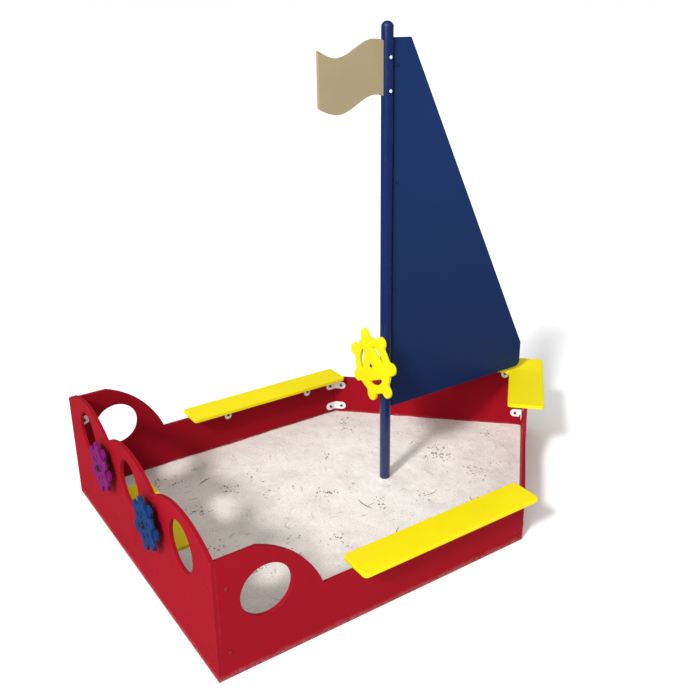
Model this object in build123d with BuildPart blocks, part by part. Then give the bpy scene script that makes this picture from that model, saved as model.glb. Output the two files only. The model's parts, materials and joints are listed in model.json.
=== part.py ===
from build123d import *
from math import acos, asin, cos, degrees, pi, radians, sin, tan
import os

os.makedirs("parts", exist_ok=True)

# A boat-shaped sandbox: a stern board, two side boards and two bow boards
# make a five-sided wall around the sand, with four seats, a mast with a sail
# and a flag, a ship's wheel on the mast and two spinning gear wheels outside
# the stern. +X points to the bow, +Y to port, +Z up. The origin is the centre
# of the mast's foot, on the ground. Millimetres and degrees.

# ---- driving dimensions: the boards and the plan ----
board = 19.0
board_round = 2.5
hull_width = 1760.0
side_length = 1695.0
stern_to_mast = 1467.0
bow_angle = 45.0
low_wall = 262.0
high_wall = 577.0
bow_wall = 418.0
foot_round = 45.0

# ---- the stern's three humps and portholes ----
hump_rise = 86.0
stern_port_radius = 117.0
stern_port_height = 486.0

# ---- the sides' raised end ----
side_flat = 200.0
side_slope = 307.0
side_bulge = 51.0
side_port_radius = 119.0
side_port_from_stern = 236.0
side_port_height = 355.0

# ---- the bow's step up to its seat ----
bow_step_radius = bow_wall - low_wall

# ---- seats ----
seat_width = 180.0
seat_corner = 22.0
seat_round = 4.0
side_seat_start = 665.0
side_seat_length = 1050.0
stern_seat_length = 630.0
stern_seat_gap = 1.0
bow_seat_width = 206.0
bow_seat_leg = 680.0
bow_seat_inner_round = 50.0

# ---- brackets ----
strap = 4.0
strap_height = 50.0
strap_leg = 70.0
strap_bolt = 41.0
stern_strap_heights = (127.0, 435.0)
shoulder_strap_heights = (60.0, 207.0)
bow_strap_heights = (102.0, 318.0)
seat_strap_width = 44.0
seat_strap_drop = 75.0
seat_strap_reach = 60.0
seat_strap_bolt = 46.0
seat_strap_screw = 38.0
side_strap_spacing = 560.0
bow_strap_places = (119.0, 450.0)
stern_strap_spacing = 400.0
stern_strap_drop = 120.0
stern_strap_reach = 140.0

# ---- panel bolts, washers, nuts and seat screws ----
bolt_radius = 4.0
bolt_clearance = 0.3
bolt_head_radius = 9.0
bolt_head_height = 4.5
washer_radius = 9.0
washer_thick = 1.6
nut_width = 13.0
nut_height = 6.5
nut_clearance = 0.1
bolt_past_nut = 2.0
nut_face_share = 0.52
nut_corner_share = 0.6
nut_chamfer_share = 0.12
screw_radius = 2.5
screw_head_radius = 6.0
screw_head_height = 3.0
screw_depth = 13.0

# ---- mast ----
mast_radius = 30.15
mast_wall = 3.2
mast_top = 2490.0
cap_height = 26.0
cap_rim = 4.0
cap_plug = 30.0
cap_plug_clearance = 0.2
base_thick = 6.0
base_width = 160.0
anchor_spacing = 110.0
anchor_radius = 7.0

# ---- sand ----
sand_depth = 10.0
sand_clearance = 0.5

# ---- sail ----
sail_luff = 38.0
sail_foot = 456.0
sail_clew = 1022.0
sail_knee = 612.0
sail_head = 2414.0
sail_head_width = 102.0
sail_clew_round = 35.0
sail_knee_round = 150.0
sail_head_round = 20.0
tab_reach = 84.0
tab_thick = 5.0
tab_height = 50.0
tab_corner = 10.0
sail_bolt_out = 58.0
sail_bolt_top = 2287.0
sail_bolt_bottom = 560.0
sail_bolt_count = 4
sail_bolt_head = 7.5

# ---- flag ----
flag_length = 394.0
flag_top = 2402.0
flag_height = 256.0
flag_tongue = 14.0
flag_slot_clearance = 0.3
wave_height = 40.5
wave_half_length = 217.0
wave_crest = 45.0
flag_bolt_radius = 3.0
flag_bolt_head = 8.0
flag_bolt_heights = (2168.0, 2325.0)
flag_nut_width = 10.0
flag_nut_height = 5.0

# ---- the pivots: bolt, sleeve, bush, washer ----
axle_radius = 6.0
axle_clearance = 0.2
axle_head_radius = 10.0
axle_head_height = 7.0
sleeve_radius = 10.0
running_clearance = 0.05
bush_radius = 14.0
end_play = 0.5
boss_floor = 4.0
thread_gap = 1.0
pivot_washer_radius = 17.0
pivot_washer_thick = 2.5
spacer_radius = 16.0
axle_nut_width = 19.0
axle_nut_height = 10.0

# ---- ship's wheel ----
wheel_height = 734.0
wheel_behind_mast = 74.0
wheel_handles = 7
wheel_turn = 65.4
wheel_rim_radius = 158.0
handle_radius = 35.0
handle_centre = 171.0
handle_root_round = 18.0
window_count = 3
window_outer = 112.0
window_chord = 82.0
window_round = 8.0
wheel_edge_round = 4.0

# ---- gear wheels ----
gear_height = 447.0
gear_off_stern = 25.0
gear_plate = 13.0
gear_teeth = 6
gear_tip_radius = 126.0
gear_root_radius = 94.0
tooth_tip_width = 40.0
tooth_root_width = 62.0
tooth_round = 6.0
gear_hole_circle = 58.0
gear_hole_radius = 12.0
gear_screw_circle = 34.0
gear_screw_count = 3
gear_screw_short = 2.0
gear_edge_round = 2.0

# ---- derived places ----
half = hull_width / 2
stern_x = -stern_to_mast
shoulder_x = stern_x + side_length
tip_x = shoulder_x + half / tan(radians(bow_angle))
inner_y = half - board
inner_stern_x = stern_x + board
mitre_turn = tan(radians(bow_angle / 2))
inner_shoulder_x = shoulder_x - board * mitre_turn
bow_sin = sin(radians(bow_angle))
bow_cos = cos(radians(bow_angle))
inner_tip_x = tip_x - board / bow_sin
bow_length = half / bow_sin
bolt_hole = bolt_radius + bolt_clearance
hump_chord = hull_width / 3
gear_y = hump_chord / 2
gear_thick = 2 * gear_plate

forward = Vector(1, 0, 0)
to_port = Vector(0, 1, 0)
up = Vector(0, 0, 1)
bow_run = Vector(bow_cos, bow_sin, 0)
bow_inward = Vector(-bow_sin, bow_cos, 0)


def mirrored(v):
    """The same vector on the other side of the keel line."""
    return Vector(v.X, -v.Y, v.Z)


def polar(radius, angle):
    """The flat point at a radius and an angle in degrees."""
    return (radius * cos(radians(angle)), radius * sin(radians(angle)))


def facing(origin, normal):
    """A plane that faces along a level normal, with its own y pointing up."""
    return Plane(origin=origin, x_dir=up.cross(normal), z_dir=normal)


# Each strap station: inner corner, run along the board, inward normal, heights.
starboard_stations = [
    (Vector(inner_stern_x, -inner_y, 0), to_port, forward, stern_strap_heights),
    (Vector(inner_stern_x, -inner_y, 0), forward, to_port, stern_strap_heights),
    (Vector(inner_shoulder_x, -inner_y, 0), -forward, to_port, shoulder_strap_heights),
    (Vector(inner_shoulder_x, -inner_y, 0), bow_run, bow_inward, shoulder_strap_heights),
    (Vector(inner_tip_x, 0, 0), -bow_run, bow_inward, bow_strap_heights),
]
port_stations = []
for corner, run, inward, heights in starboard_stations:
    port_stations.append((mirrored(corner), mirrored(run), mirrored(inward), heights))
stations = starboard_stations + port_stations

# Each seat strap: the top of the board's inner face and its inward normal.
seat_mid_x = stern_x + side_seat_start + side_seat_length / 2
side_straps = []
for run_x in (-side_strap_spacing / 2, side_strap_spacing / 2):
    side_straps.append((Vector(seat_mid_x + run_x, -inner_y, low_wall), to_port))
    side_straps.append((Vector(seat_mid_x + run_x, inner_y, low_wall), -to_port))
stern_straps = []
for run_y in (-stern_strap_spacing / 2, stern_strap_spacing / 2):
    stern_straps.append((Vector(inner_stern_x, run_y, low_wall), forward))
bow_straps = []
for back in bow_strap_places:
    place = Vector(inner_tip_x, 0, bow_wall) - bow_run * back
    bow_straps.append((place, bow_inward))
    bow_straps.append((mirrored(place), mirrored(bow_inward)))

# Every bolt through a board, as a plane on the board's outer face facing inward.
bolt_places = []
for corner, run, inward, heights in stations:
    for height in heights:
        spot = corner + run * strap_bolt + up * height - inward * board
        bolt_places.append(facing(spot, inward))
for spot, inward in side_straps + stern_straps + bow_straps:
    bolt_places.append(facing(spot - up * seat_strap_bolt - inward * board, inward))

# Every screw up into a seat, as a plane on the strap's underside facing up.
screw_places = []
for straps, reach in (
    (side_straps, seat_strap_screw),
    (stern_straps, stern_strap_reach - seat_strap_width / 2),
    (bow_straps, seat_strap_screw),
):
    for spot, inward in straps:
        screw_places.append(Plane(origin=spot + inward * reach - up * strap, z_dir=(0, 0, 1)))


def bore_bolt_holes():
    """Cut the bolt holes out of the board that is being built."""
    with Locations(*bolt_places):
        Cylinder(bolt_hole, 3 * board, mode=Mode.SUBTRACT)


# ---- stern board: three humps, three portholes, two axle holes ----
stern_plane = Plane(origin=(stern_x, 0, 0), x_dir=(0, 1, 0), z_dir=(1, 0, 0))
with BuildPart() as stern_panel:
    with BuildSketch(stern_plane):
        with BuildLine():
            Polyline((-half, high_wall), (-half, 0), (half, 0), (half, high_wall))
            for index in range(3):
                start = half - index * hump_chord
                crown = (start - hump_chord / 2, high_wall + hump_rise)
                ThreePointArc((start, high_wall), crown, (start - hump_chord, high_wall))
        make_face()
        with Locations(*[(offset, stern_port_height) for offset in (-hump_chord, 0, hump_chord)]):
            Circle(stern_port_radius, mode=Mode.SUBTRACT)
        with Locations((-gear_y, gear_height), (gear_y, gear_height)):
            Circle(axle_radius + axle_clearance, mode=Mode.SUBTRACT)
    extrude(amount=board)
    rims = stern_panel.edges().filter_by(GeomType.CIRCLE)
    fillet(rims.filter_by(lambda edge: abs(edge.radius - stern_port_radius) < 0.1), board_round)
    bore_bolt_holes()
stern_panel.part.label = "stern_panel"
export_step(stern_panel.part, "parts/stern_panel.step")

# ---- side boards: high at the stern, an arc down to the low wall ----
side_plane = Plane(origin=(0, -half, 0), x_dir=(1, 0, 0), z_dir=(0, -1, 0))
shoulder_mitre = Plane(
    origin=(shoulder_x, -half, 0),
    x_dir=(board * mitre_turn, -board, 0),
    z_dir=(board, board * mitre_turn, 0),
)
slope_start = (stern_x + side_flat, high_wall)
slope_end = (stern_x + side_flat + side_slope, low_wall)
with BuildPart() as starboard_side_panel:
    with BuildSketch(side_plane) as side_profile:
        with BuildLine():
            Polyline(
                (shoulder_x, low_wall),
                (shoulder_x, 0),
                (inner_stern_x, 0),
                (inner_stern_x, high_wall),
                slope_start,
            )
            SagittaArc(slope_start, slope_end, side_bulge)
            Line(slope_end, (shoulder_x, low_wall))
        make_face()
        foot = side_profile.vertices().group_by(Axis.Z)[0].sort_by(Axis.X)[-1]
        fillet(foot, foot_round)
        with Locations((stern_x + side_port_from_stern, side_port_height)):
            Circle(side_port_radius, mode=Mode.SUBTRACT)
    extrude(amount=-board)
    rims = starboard_side_panel.edges().filter_by(GeomType.CIRCLE)
    fillet(rims.filter_by(lambda edge: abs(edge.radius - side_port_radius) < 0.1), board_round)
    split(bisect_by=shoulder_mitre, keep=Keep.BOTTOM)
    bore_bolt_holes()
starboard_side_panel.part.label = "starboard_side_panel"
export_step(starboard_side_panel.part, "parts/starboard_side_panel.step")

with BuildPart() as port_side_panel:
    mirror(starboard_side_panel.part, about=Plane.XZ)
port_side_panel.part.label = "port_side_panel"
export_step(port_side_panel.part, "parts/port_side_panel.step")

# ---- bow boards: low at the shoulder, a hollow arc up to the bow seat ----
bow_plane = Plane(origin=(shoulder_x, -half, 0), x_dir=bow_run, z_dir=-bow_inward)
tip_mitre = Plane(origin=(tip_x, 0, 0), x_dir=(1, 0, 0), z_dir=(0, 1, 0))
seat_overhang = (bow_seat_width - board) / 2
step_end = bow_length + seat_overhang * bow_cos / bow_sin - bow_seat_leg
step_start = step_end - bow_step_radius
with BuildPart() as starboard_bow_panel:
    with BuildSketch(bow_plane) as bow_profile:
        with BuildLine():
            Polyline(
                (bow_length, bow_wall),
                (bow_length, 0),
                (0, 0),
                (0, low_wall),
                (step_start, low_wall),
            )
            RadiusArc((step_start, low_wall), (step_end, bow_wall), -bow_step_radius)
            Line((step_end, bow_wall), (bow_length, bow_wall))
        make_face()
        foot = bow_profile.vertices().group_by(Axis.Z)[0].sort_by(Axis.X)[0]
        fillet(foot, foot_round)
    extrude(amount=-board)
    split(bisect_by=shoulder_mitre, keep=Keep.TOP)
    split(bisect_by=tip_mitre, keep=Keep.BOTTOM)
    bore_bolt_holes()
starboard_bow_panel.part.label = "starboard_bow_panel"
export_step(starboard_bow_panel.part, "parts/starboard_bow_panel.step")

with BuildPart() as port_bow_panel:
    mirror(starboard_bow_panel.part, about=Plane.XZ)
port_bow_panel.part.label = "port_bow_panel"
export_step(port_bow_panel.part, "parts/port_bow_panel.step")


def bore_screw_holes():
    """Cut the blind screw holes up into the seat that is being built."""
    with Locations(*screw_places):
        depth = strap + screw_depth
        Cylinder(screw_radius, depth, align=(Align.CENTER, Align.CENTER, Align.MIN), mode=Mode.SUBTRACT)


# ---- side seats: boards laid on the low walls ----
with BuildPart() as starboard_seat:
    with BuildSketch(Plane.XY.offset(low_wall)):
        with Locations((seat_mid_x, -(half - board / 2))):
            RectangleRounded(side_seat_length, seat_width, seat_corner)
    extrude(amount=board)
    fillet(starboard_seat.faces().sort_by(Axis.Z)[-1].edges(), seat_round)
    bore_screw_holes()
starboard_seat.part.label = "starboard_seat"
export_step(starboard_seat.part, "parts/starboard_seat.step")

with BuildPart() as port_seat:
    mirror(starboard_seat.part, about=Plane.XZ)
port_seat.part.label = "port_seat"
export_step(port_seat.part, "parts/port_seat.step")

# ---- stern seat: a board against the stern's inner face ----
with BuildPart() as stern_seat:
    with BuildSketch(Plane.XY.offset(low_wall)):
        with Locations((inner_stern_x + stern_seat_gap + seat_width / 2, 0)):
            RectangleRounded(seat_width, stern_seat_length, seat_corner)
    extrude(amount=board)
    fillet(stern_seat.faces().sort_by(Axis.Z)[-1].edges(), seat_round)
    bore_screw_holes()
stern_seat.part.label = "stern_seat"
export_step(stern_seat.part, "parts/stern_seat.step")

# ---- bow seat: a chevron centred on the bow walls ----
seat_apex = tip_x + seat_overhang / bow_sin
seat_inner_apex = seat_apex - bow_seat_width / bow_sin
outer_end = Vector(seat_apex, 0, 0) - bow_run * bow_seat_leg
inner_end = outer_end + bow_inward * bow_seat_width
with BuildPart() as bow_seat:
    with BuildSketch(Plane.XY.offset(bow_wall)) as chevron:
        with BuildLine():
            Polyline(
                (seat_apex, 0),
                (outer_end.X, outer_end.Y),
                (inner_end.X, inner_end.Y),
                (seat_inner_apex, 0),
                (inner_end.X, -inner_end.Y),
                (outer_end.X, -outer_end.Y),
                close=True,
            )
        make_face()
        corners = chevron.vertices().sort_by(lambda v: abs(v.X - seat_inner_apex) + abs(v.Y))
        fillet(corners[0], bow_seat_inner_round)
        corners = chevron.vertices().filter_by(lambda v: abs(v.Y) > bow_seat_inner_round or v.X > tip_x)
        fillet(corners, seat_corner)
    extrude(amount=board)
    fillet(bow_seat.faces().sort_by(Axis.Z)[-1].edges(), seat_round)
    bore_screw_holes()
bow_seat.part.label = "bow_seat"
export_step(bow_seat.part, "parts/bow_seat.step")


def strap_leg_plate(plane, length, width, hole_at, hole_radius):
    """One flat leg of a bent strap, from the plane's origin along its x, round-ended."""
    with BuildSketch(plane) as leg:
        straight = length - width / 2
        Rectangle(straight, width, align=(Align.MIN, Align.CENTER))
        with Locations((straight, 0)):
            Circle(width / 2)
        with Locations((hole_at, 0)):
            Circle(hole_radius, mode=Mode.SUBTRACT)
    extrude(leg.sketch, amount=strap)


def corner_straps(chosen):
    """The two legs of every corner strap whose stations are given."""
    for corner, run, inward, heights in chosen:
        for height in heights:
            plane = Plane(origin=corner + up * height, x_dir=run, z_dir=inward)
            strap_leg_plate(plane, strap_leg, strap_height, strap_bolt, bolt_hole)


# ---- corner straps, in three groups ----
with BuildPart() as stern_corner_straps:
    corner_straps(starboard_stations[0:2] + port_stations[0:2])
stern_corner_straps.part.label = "stern_corner_straps"
export_step(stern_corner_straps.part, "parts/stern_corner_straps.step")

with BuildPart() as shoulder_straps:
    corner_straps(starboard_stations[2:4] + port_stations[2:4])
shoulder_straps.part.label = "shoulder_straps"
export_step(shoulder_straps.part, "parts/shoulder_straps.step")

with BuildPart() as bow_tip_straps:
    corner_straps(starboard_stations[4:] + port_stations[4:])
bow_tip_straps.part.label = "bow_tip_straps"
export_step(bow_tip_straps.part, "parts/bow_tip_straps.step")


def seat_straps(straps, drop, reach, screw):
    """L-straps: one leg down the board's inner face, one under the seat."""
    for spot, inward in straps:
        down_plane = Plane(origin=spot, x_dir=-up, z_dir=inward)
        strap_leg_plate(down_plane, drop, seat_strap_width, seat_strap_bolt, bolt_hole)
        under_plane = Plane(origin=spot, x_dir=inward, z_dir=-up)
        strap_leg_plate(under_plane, reach, seat_strap_width, screw, screw_radius)


with BuildPart() as side_seat_straps:
    seat_straps(side_straps, seat_strap_drop, seat_strap_reach, seat_strap_screw)
side_seat_straps.part.label = "side_seat_straps"
export_step(side_seat_straps.part, "parts/side_seat_straps.step")

with BuildPart() as stern_seat_straps:
    far_screw = stern_strap_reach - seat_strap_width / 2
    seat_straps(stern_straps, stern_strap_drop, stern_strap_reach, far_screw)
stern_seat_straps.part.label = "stern_seat_straps"
export_step(stern_seat_straps.part, "parts/stern_seat_straps.step")

with BuildPart() as bow_seat_straps:
    seat_straps(bow_straps, seat_strap_drop, seat_strap_reach, seat_strap_screw)
bow_seat_straps.part.label = "bow_seat_straps"
export_step(bow_seat_straps.part, "parts/bow_seat_straps.step")


def dome_middle(rim_radius, rise):
    """Halfway down a round dome: how far out from its axis, and how far below its top."""
    sphere = (rim_radius**2 + rise**2) / (2 * rise)
    half_turn = asin(rim_radius / sphere) / 2
    return sphere * sin(half_turn), sphere * (1 - cos(half_turn))


def cap_bolt(shank_radius, shank_length, head_radius, head_height):
    """A dome-headed bolt: head below z = 0, shank up from there."""
    rim = -head_height / 3
    out, drop = dome_middle(head_radius, head_height + rim)
    with BuildPart() as bolt:
        with BuildSketch(Plane.XZ):
            with BuildLine():
                Polyline(
                    (0, -head_height),
                    (0, shank_length),
                    (shank_radius, shank_length),
                    (shank_radius, 0),
                    (head_radius, 0),
                    (head_radius, rim),
                )
                ThreePointArc((head_radius, rim), (out, drop - head_height), (0, -head_height))
            make_face()
        revolve(axis=Axis.Z)
    return bolt.part


def hex_nut(width, height, bore):
    """A nut standing on z = 0 with chamfered corners."""
    with BuildPart() as nut:
        with BuildSketch():
            RegularPolygon(width / 2, 6, major_radius=False)
        extrude(amount=height)
        with BuildSketch(Plane.XZ):
            with BuildLine():
                Polyline(
                    (0, 0),
                    (width * nut_face_share, 0),
                    (width * nut_corner_share, height * nut_chamfer_share),
                    (width * nut_corner_share, height - height * nut_chamfer_share),
                    (width * nut_face_share, height),
                    (0, height),
                    close=True,
                )
            make_face()
        revolve(axis=Axis.Z, mode=Mode.INTERSECT)
        Cylinder(bore, 3 * height, mode=Mode.SUBTRACT)
    return nut.part


def ring(outer, inner, height):
    """A plain ring standing on z = 0."""
    with BuildPart() as tube:
        with BuildSketch():
            Circle(outer)
            Circle(inner, mode=Mode.SUBTRACT)
        extrude(amount=height)
    return tube.part


# ---- panel bolts, washers and nuts, one of each at every strap bolt ----
clamped = board + strap
panel_bolt_length = clamped + washer_thick + nut_height + bolt_past_nut
panel_bolt = cap_bolt(bolt_radius, panel_bolt_length, bolt_head_radius, bolt_head_height)
with BuildPart() as panel_bolts:
    with Locations(*bolt_places):
        add(panel_bolt)
panel_bolts.part.label = "panel_bolts"
export_step(panel_bolts.part, "parts/panel_bolts.step")

washer_places = [place.offset(clamped) for place in bolt_places]
with BuildPart() as panel_washers:
    with Locations(*washer_places):
        add(ring(washer_radius, bolt_hole, washer_thick))
panel_washers.part.label = "panel_washers"
export_step(panel_washers.part, "parts/panel_washers.step")

nut_places = [place.offset(clamped + washer_thick) for place in bolt_places]
with BuildPart() as panel_nuts:
    with Locations(*nut_places):
        add(hex_nut(nut_width, nut_height, bolt_radius + nut_clearance))
panel_nuts.part.label = "panel_nuts"
export_step(panel_nuts.part, "parts/panel_nuts.step")

# ---- seat screws, up through each strap's level leg ----
with BuildPart() as seat_screws:
    with Locations(*screw_places):
        add(cap_bolt(screw_radius, strap + screw_depth, screw_head_radius, screw_head_height))
seat_screws.part.label = "seat_screws"
export_step(seat_screws.part, "parts/seat_screws.step")

# ---- mast: foot plate, tube and domed cap ----
with BuildPart() as mast_base_plate:
    with BuildSketch():
        RectangleRounded(base_width, base_width, seat_corner)
        with GridLocations(anchor_spacing, anchor_spacing, 2, 2):
            Circle(anchor_radius, mode=Mode.SUBTRACT)
    extrude(amount=base_thick)
mast_base_plate.part.label = "mast_base_plate"
export_step(mast_base_plate.part, "parts/mast_base_plate.step")

tube_top = mast_top - cap_height
slot_width = board + 2 * flag_slot_clearance
with BuildPart() as mast_tube:
    with BuildSketch(Plane.XY.offset(base_thick)):
        Circle(mast_radius)
        Circle(mast_radius - mast_wall, mode=Mode.SUBTRACT)
    extrude(amount=tube_top - base_thick)
    slot_bottom = flag_top - flag_height - flag_slot_clearance
    with BuildSketch(Plane.XY.offset(slot_bottom)):
        Rectangle(2 * mast_radius, slot_width, align=(Align.MAX, Align.CENTER))
    extrude(amount=flag_height + 2 * flag_slot_clearance, mode=Mode.SUBTRACT)
    with Locations(*[Plane(origin=(0, 0, z), z_dir=(0, 1, 0)) for z in flag_bolt_heights]):
        Cylinder(flag_bolt_radius + bolt_clearance, 3 * mast_radius, mode=Mode.SUBTRACT)
mast_tube.part.label = "mast_tube"
export_step(mast_tube.part, "parts/mast_tube.step")

plug_radius = mast_radius - mast_wall - cap_plug_clearance
cap_out, cap_drop = dome_middle(mast_radius, cap_height - cap_rim)
with BuildPart() as mast_cap:
    with BuildSketch(Plane.XZ):
        with BuildLine():
            Polyline(
                (0, mast_top),
                (0, tube_top - cap_plug),
                (plug_radius, tube_top - cap_plug),
                (plug_radius, tube_top),
                (mast_radius, tube_top),
                (mast_radius, tube_top + cap_rim),
            )
            ThreePointArc((mast_radius, tube_top + cap_rim), (cap_out, mast_top - cap_drop), (0, mast_top))
        make_face()
    revolve(axis=Axis.Z)
mast_cap.part.label = "mast_cap"
export_step(mast_cap.part, "parts/mast_cap.step")

# ---- sail: a flat board ahead of the mast ----
keel_plane = Plane(origin=(0, -board / 2, 0), x_dir=(1, 0, 0), z_dir=(0, -1, 0))
sail_step = (sail_bolt_top - sail_bolt_bottom) / (sail_bolt_count - 1)
sail_bolt_heights = [sail_bolt_bottom + index * sail_step for index in range(sail_bolt_count)]
with BuildPart() as sail:
    with BuildSketch(keel_plane) as sail_profile:
        with BuildLine():
            Polyline(
                (sail_luff, sail_foot),
                (sail_clew, sail_foot),
                (sail_clew, sail_knee),
                (sail_luff + sail_head_width, sail_head),
                (sail_luff, sail_head),
                close=True,
            )
        make_face()
        corners = sail_profile.vertices()
        clew, knee = corners.group_by(Axis.X)[-1].sort_by(Axis.Z)
        peak = corners.group_by(Axis.Z)[-1].sort_by(Axis.X)[-1]
        fillet(clew, sail_clew_round)
        fillet(knee, sail_knee_round)
        fillet(peak, sail_head_round)
        with Locations(*[(sail_bolt_out, z) for z in sail_bolt_heights]):
            Circle(bolt_hole, mode=Mode.SUBTRACT)
    extrude(amount=-board)
    outline = sail.faces().filter_by(Axis.Y).edges()
    outline = outline.filter_by(lambda edge: edge.length > 4 * pi * bolt_hole)
    fillet(outline, board_round)
sail.part.label = "sail"
export_step(sail.part, "parts/sail.step")

with BuildPart() as sail_tabs:
    for z in sail_bolt_heights:
        with BuildSketch(Plane(origin=(0, board / 2, z), x_dir=(1, 0, 0), z_dir=(0, -1, 0))) as tab:
            Rectangle(tab_reach, tab_height, align=(Align.MIN, Align.CENTER))
            fillet(tab.vertices().group_by(Axis.X)[-1], tab_corner)
            with Locations((sail_bolt_out, 0)):
                Circle(bolt_hole, mode=Mode.SUBTRACT)
        extrude(amount=-tab_thick)
    with BuildSketch():
        Circle(mast_radius)
    extrude(amount=mast_top, mode=Mode.SUBTRACT)
sail_tabs.part.label = "sail_tabs"
export_step(sail_tabs.part, "parts/sail_tabs.step")

sail_bolt_places = [facing(Vector(sail_bolt_out, -board / 2, z), to_port) for z in sail_bolt_heights]
sail_grip = board + tab_thick
sail_bolt_length = sail_grip + nut_height + bolt_past_nut
with BuildPart() as sail_bolts:
    with Locations(*sail_bolt_places):
        add(cap_bolt(bolt_radius, sail_bolt_length, sail_bolt_head, bolt_head_height))
sail_bolts.part.label = "sail_bolts"
export_step(sail_bolts.part, "parts/sail_bolts.step")

with BuildPart() as sail_nuts:
    with Locations(*[place.offset(sail_grip) for place in sail_bolt_places]):
        add(hex_nut(nut_width, nut_height, bolt_radius + nut_clearance))
sail_nuts.part.label = "sail_nuts"
export_step(sail_nuts.part, "parts/sail_nuts.step")


def wave(distance):
    """Height of the flag's wavy edge above its level at the mast."""
    phase = pi * (distance - wave_crest) / wave_half_length
    start = pi * -wave_crest / wave_half_length
    return wave_height * (cos(phase) - cos(start))


# ---- flag: a flat board with wavy long edges, its tongue let into the mast ----
wave_steps = 8
wave_points = []
for index in range(wave_steps + 1):
    distance = index * (flag_length - mast_radius) / wave_steps
    wave_points.append((-mast_radius - distance, wave(distance)))
with BuildPart() as flag:
    with BuildSketch(keel_plane) as flag_profile:
        with BuildLine():
            top_edge = Spline(*[(x, flag_top + z) for x, z in wave_points])
            bottom_edge = Spline(*[(x, flag_top - flag_height + z) for x, z in wave_points])
            Line(top_edge @ 1, bottom_edge @ 1)
            Polyline(
                top_edge @ 0,
                (flag_tongue, flag_top),
                (flag_tongue, flag_top - flag_height),
                bottom_edge @ 0,
            )
        make_face()
        with Locations(*[(0, z) for z in flag_bolt_heights]):
            Circle(flag_bolt_radius + bolt_clearance, mode=Mode.SUBTRACT)
    extrude(amount=-board)
flag.part.label = "flag"
export_step(flag.part, "parts/flag.step")

flag_bolt_places = [facing(Vector(0, -mast_radius, z), to_port) for z in flag_bolt_heights]
flag_grip = 2 * mast_radius
flag_bolt_length = flag_grip + flag_nut_height + bolt_past_nut
with BuildPart() as flag_bolts:
    with Locations(*flag_bolt_places):
        add(cap_bolt(flag_bolt_radius, flag_bolt_length, flag_bolt_head, bolt_head_height))
flag_bolts.part.label = "flag_bolts"
export_step(flag_bolts.part, "parts/flag_bolts.step")

with BuildPart() as flag_nuts:
    with Locations(*[place.offset(flag_grip) for place in flag_bolt_places]):
        add(hex_nut(flag_nut_width, flag_nut_height, flag_bolt_radius + nut_clearance))
flag_nuts.part.label = "flag_nuts"
export_step(flag_nuts.part, "parts/flag_nuts.step")


def behind(x, y, z):
    """A plane at a pivot that faces aft, with its own y pointing up."""
    return Plane(origin=(x, y, z), x_dir=(0, -1, 0), z_dir=(-1, 0, 0))


# ---- ship's wheel: a board with seven handles and three windows ----
wheel_front = -wheel_behind_mast
wheel_plane = Plane(origin=(wheel_front, 0, wheel_height), x_dir=(0, 1, 0), z_dir=(1, 0, 0))
window_half = degrees(acos(window_chord / window_outer))
with BuildPart() as ship_wheel:
    with BuildSketch(wheel_plane) as wheel_profile:
        Circle(wheel_rim_radius)
        with PolarLocations(handle_centre, wheel_handles, start_angle=wheel_turn):
            Circle(handle_radius)
        fillet(wheel_profile.vertices(), handle_root_round)
        Circle(bush_radius, mode=Mode.SUBTRACT)
    extrude(amount=-board)
    with BuildSketch(wheel_plane) as windows:
        for index in range(window_count):
            middle = wheel_turn + (index + 0.5) * 360 / window_count
            with BuildLine():
                CenterArc((0, 0), window_outer, middle - window_half, 2 * window_half)
                Line(polar(window_outer, middle + window_half), polar(window_outer, middle - window_half))
            make_face()
        fillet(windows.vertices(), window_round)
    extrude(amount=-board, mode=Mode.SUBTRACT)
    outline = ship_wheel.faces().filter_by(Axis.X).edges()
    circles = outline.filter_by(GeomType.CIRCLE)
    bore_edges = circles.filter_by(lambda edge: abs(edge.radius - bush_radius) < 0.1)
    fillet(outline - bore_edges, wheel_edge_round)
ship_wheel.part.label = "ship_wheel"
export_step(ship_wheel.part, "parts/ship_wheel.step")

bush_bore = sleeve_radius + running_clearance
with BuildPart() as ship_wheel_bush:
    with Locations(behind(wheel_front, 0, wheel_height)):
        add(ring(bush_radius, bush_bore, board))
ship_wheel_bush.part.label = "ship_wheel_bush"
export_step(ship_wheel_bush.part, "parts/ship_wheel_bush.step")

boss_face = wheel_front + end_play
boss_length = wheel_behind_mast - end_play
thread_depth = boss_length - mast_radius - boss_floor
with BuildPart() as wheel_boss:
    with BuildSketch(behind(0, 0, wheel_height)):
        Circle(spacer_radius)
    extrude(amount=boss_length)
    with BuildSketch(behind(boss_face, 0, wheel_height)):
        Circle(axle_radius)
    extrude(amount=-thread_depth, mode=Mode.SUBTRACT)
    with BuildSketch():
        Circle(mast_radius)
    extrude(amount=mast_top, mode=Mode.SUBTRACT)
wheel_boss.part.label = "wheel_boss"
export_step(wheel_boss.part, "parts/wheel_boss.step")

wheel_sleeve_length = board + 2 * end_play
with BuildPart() as wheel_sleeve:
    with Locations(behind(boss_face, 0, wheel_height)):
        add(ring(sleeve_radius, axle_radius + axle_clearance, wheel_sleeve_length))
wheel_sleeve.part.label = "wheel_sleeve"
export_step(wheel_sleeve.part, "parts/wheel_sleeve.step")

wheel_washer_x = boss_face - wheel_sleeve_length
with BuildPart() as wheel_washer:
    with Locations(behind(wheel_washer_x, 0, wheel_height)):
        add(ring(pivot_washer_radius, axle_radius + axle_clearance, pivot_washer_thick))
wheel_washer.part.label = "wheel_washer"
export_step(wheel_washer.part, "parts/wheel_washer.step")

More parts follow.
